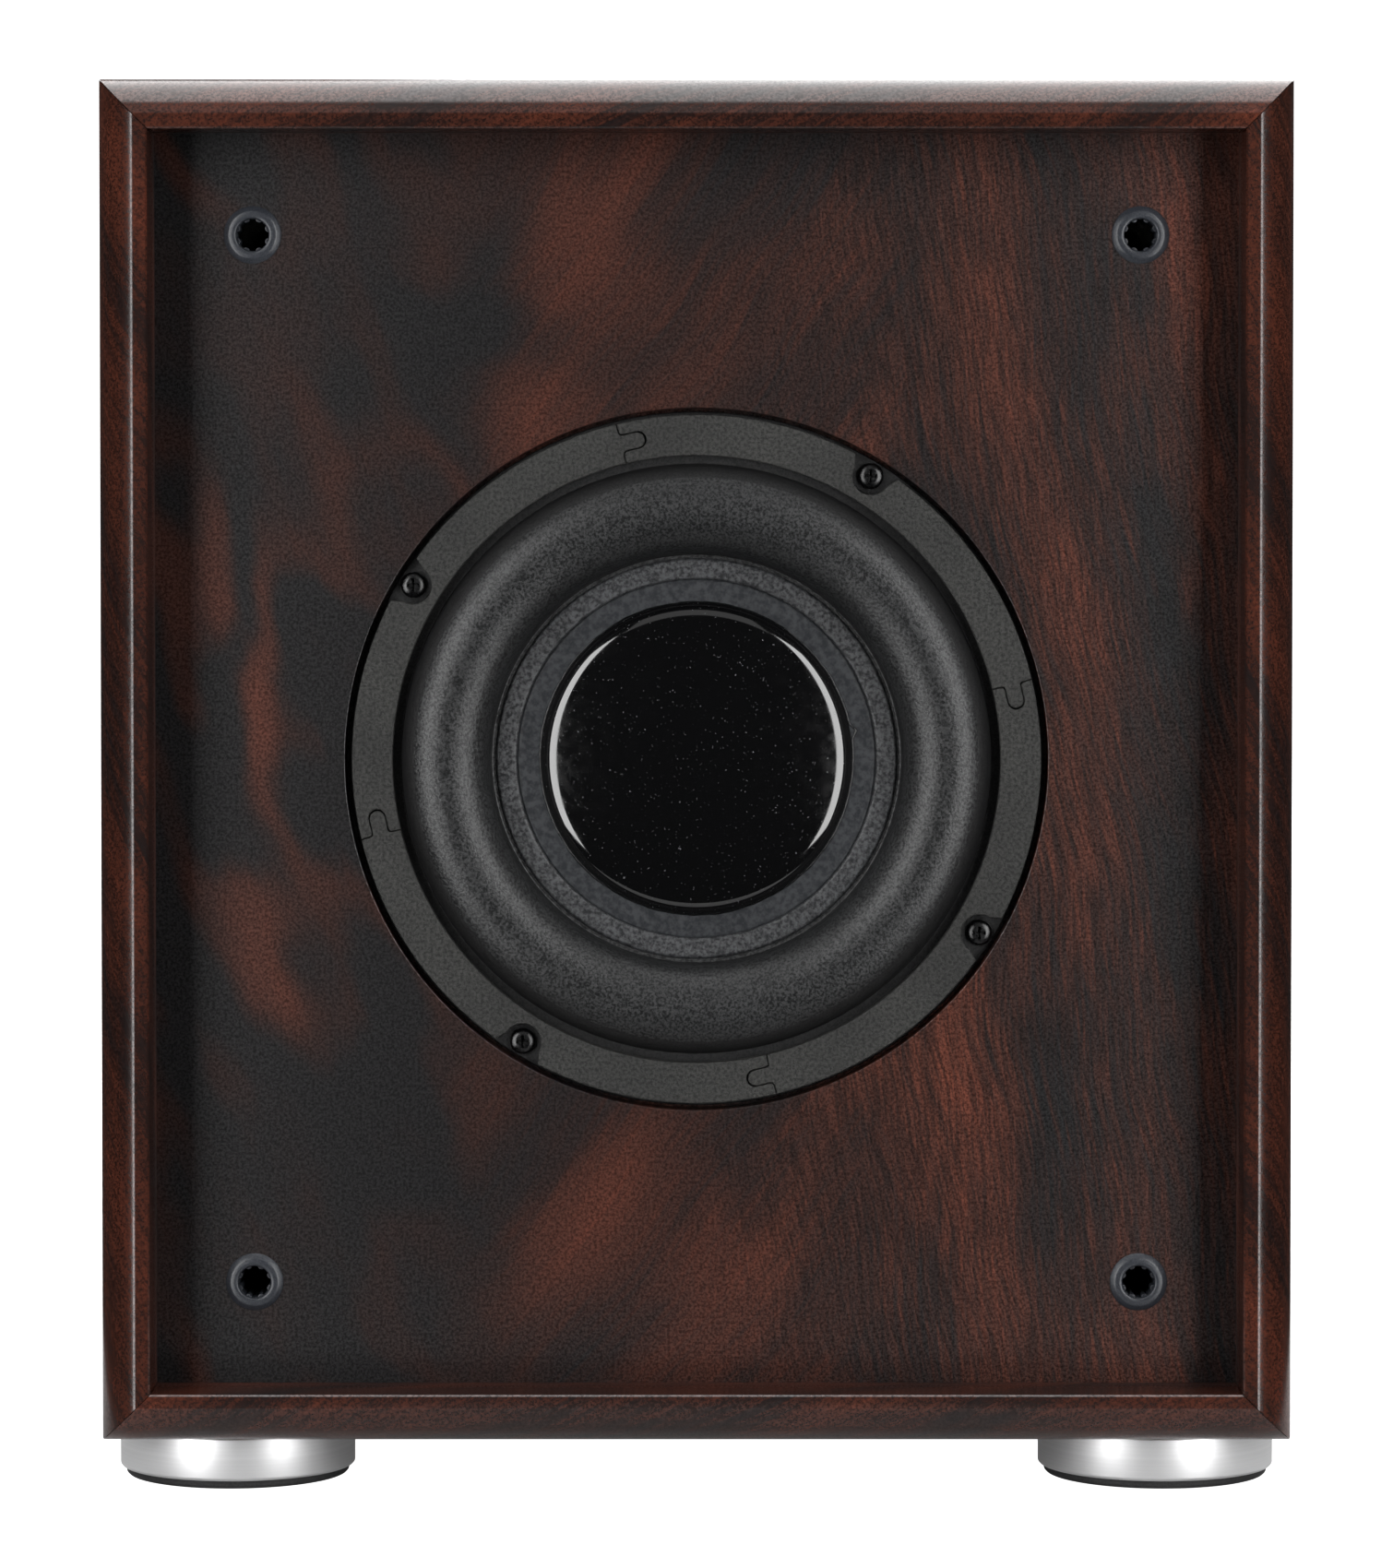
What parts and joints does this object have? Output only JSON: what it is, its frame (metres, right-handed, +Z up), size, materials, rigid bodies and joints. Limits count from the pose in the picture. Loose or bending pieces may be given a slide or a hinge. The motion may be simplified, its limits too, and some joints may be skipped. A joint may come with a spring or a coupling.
{
  "type": "powered subwoofer",
  "caption": "Free-standing powered subwoofer: wood-foil cabinet with a sunken baffle, long-throw woofer, grille sockets, round metal feet and a rear amplifier panel.",
  "frame": {"origin": "on the floor, under the middle of the whole object's bounding box", "axes": "+Z up, the woofer and the sunken baffle face -Y, +X to the right as seen from the front"},
  "size_m": [0.35, 0.389, 0.4155],
  "materials": {
    "foil_wood": "dark rosewood-pattern foil over board, satin",
    "surround_rubber": "satin",
    "foam": "open-textured closed-cell foam, matt",
    "black_plastic": "satin black",
    "gloss_cap": "high gloss",
    "cone_paper": "coated paper, satin",
    "foot_metal": "turned, satin",
    "pad_rubber": "matt",
    "black_steel": "fine-textured black",
    "sink_metal": "black anodised",
    "motor_steel": "zinc plated",
    "ferrite": "matt ceramic",
    "copper": "bare copper",
    "cloth": "resin-treated cloth",
    "wadding": "loose polyester",
    "circuit_board": "board with components",
    "nickel": "nickel plated contacts",
    "red_plastic": "satin red",
    "lens": "tinted lens"
  },
  "bodies": {
    "cabinet": {"cabinet_top": "foil_wood", "cabinet_right": "foil_wood", "cabinet_bottom": "foil_wood", "cabinet_left": "foil_wood", "front_baffle": "foil_wood", "rear_panel": "foil_wood", "acoustic_wadding": "wadding", "driver_basket": "black_steel", "amplifier_panel": "black_steel", "driver_screw_1": "black_steel", "driver_screw_2": "black_steel", "driver_screw_3": "black_steel", "driver_screw_4": "black_steel", "foam_ring_1": "foam", "foam_ring_2": "foam", "foam_ring_3": "foam", "foam_ring_4": "foam", "front_plate": "motor_steel", "pole_yoke": "motor_steel", "ferrite_magnet": "ferrite", "spider": "cloth", "tinsel_lead_plus": "copper", "tinsel_lead_minus": "copper", "toroidal_transformer": "copper", "rubber_surround": "surround_rubber", "terminal_strip": "black_plastic", "speaker_lead": "black_plastic", "terminal_block": "black_plastic", "mains_inlet": "black_plastic", "switch_frame": "black_plastic", "grille_socket_upper_left": "black_plastic", "grille_socket_upper_right": "black_plastic", "grille_socket_lower_left": "black_plastic", "grille_socket_lower_right": "black_plastic", "foot_front_left": "foot_metal", "foot_pad_front_left": "pad_rubber", "foot_front_right": "foot_metal", "foot_pad_front_right": "pad_rubber", "foot_rear_left": "foot_metal", "foot_pad_rear_left": "pad_rubber", "foot_rear_right": "foot_metal", "foot_pad_rear_right": "pad_rubber", "heat_sink": "sink_metal", "amplifier_board": "circuit_board", "input_jacks": "nickel", "standby_lamp": "lens"},
    "moving_cone": {"woofer_cone": "cone_paper", "coil_former": "cloth", "voice_coil": "copper", "dust_cap": "gloss_cap"},
    "volume_control": {"volume_knob": "black_plastic"},
    "crossover_control": {"crossover_knob": "black_plastic"},
    "phase_switch": {"phase_slider": "black_plastic"},
    "mode_switch": {"mode_slider": "black_plastic"},
    "power_switch": {"power_rocker": "black_plastic"},
    "fuse_tray": {"fuse_drawer": "black_plastic"},
    "clip_left_plus": {"clip_lever_left_plus": "red_plastic"},
    "clip_left_minus": {"clip_lever_left_minus": "black_plastic"},
    "clip_right_plus": {"clip_lever_right_plus": "red_plastic"},
    "clip_right_minus": {"clip_lever_right_minus": "black_plastic"}
  },
  "joints": [
    {"name": "cone_travel", "type": "slide", "parent": "cabinet", "child": "moving_cone", "axis": [0, -1, 0], "range_m": [-0.008, 0.008], "stiffness_N_per_m": 2000, "deforming": ["rubber_surround", "spider", "tinsel_lead_plus", "tinsel_lead_minus"]},
    {"name": "volume_turn", "type": "hinge", "parent": "cabinet", "child": "volume_control", "pos_m": [0.072, 0.1805, 0.2095], "axis": [0, 1, 0], "range_deg": [-150, 150]},
    {"name": "crossover_turn", "type": "hinge", "parent": "cabinet", "child": "crossover_control", "pos_m": [0.034, 0.1805, 0.2095], "axis": [0, 1, 0], "range_deg": [-150, 150]},
    {"name": "phase_slide", "type": "slide", "parent": "cabinet", "child": "phase_switch", "axis": [1, 0, 0], "range_m": [0, 0.004]},
    {"name": "mode_slide", "type": "slide", "parent": "cabinet", "child": "mode_switch", "axis": [1, 0, 0], "range_m": [-0.004, 0.004]},
    {"name": "power_rock", "type": "hinge", "parent": "cabinet", "child": "power_switch", "pos_m": [-0.014, 0.1715, 0.1025], "axis": [-1, 0, 0], "range_deg": [0, 18]},
    {"name": "fuse_tray_pull", "type": "slide", "parent": "cabinet", "child": "fuse_tray", "axis": [0, 1, 0], "range_m": [0, 0.016]},
    {"name": "clip_left_plus_press", "type": "hinge", "parent": "cabinet", "child": "clip_left_plus", "pos_m": [0.00925, 0.1795, 0.1515], "axis": [1, 0, 0], "range_deg": [0, 16], "stiffness_Nm_per_rad": 0.05, "springref_deg": -5.73},
    {"name": "clip_left_minus_press", "type": "hinge", "parent": "cabinet", "child": "clip_left_minus", "pos_m": [-0.00625, 0.1795, 0.1515], "axis": [1, 0, 0], "range_deg": [0, 16], "stiffness_Nm_per_rad": 0.05, "springref_deg": -5.73},
    {"name": "clip_right_plus_press", "type": "hinge", "parent": "cabinet", "child": "clip_right_plus", "pos_m": [-0.02175, 0.1795, 0.1515], "axis": [1, 0, 0], "range_deg": [0, 16], "stiffness_Nm_per_rad": 0.05, "springref_deg": -5.73},
    {"name": "clip_right_minus_press", "type": "hinge", "parent": "cabinet", "child": "clip_right_minus", "pos_m": [-0.03725, 0.1795, 0.1515], "axis": [1, 0, 0], "range_deg": [0, 16], "stiffness_Nm_per_rad": 0.05, "springref_deg": -5.73}
  ]
}
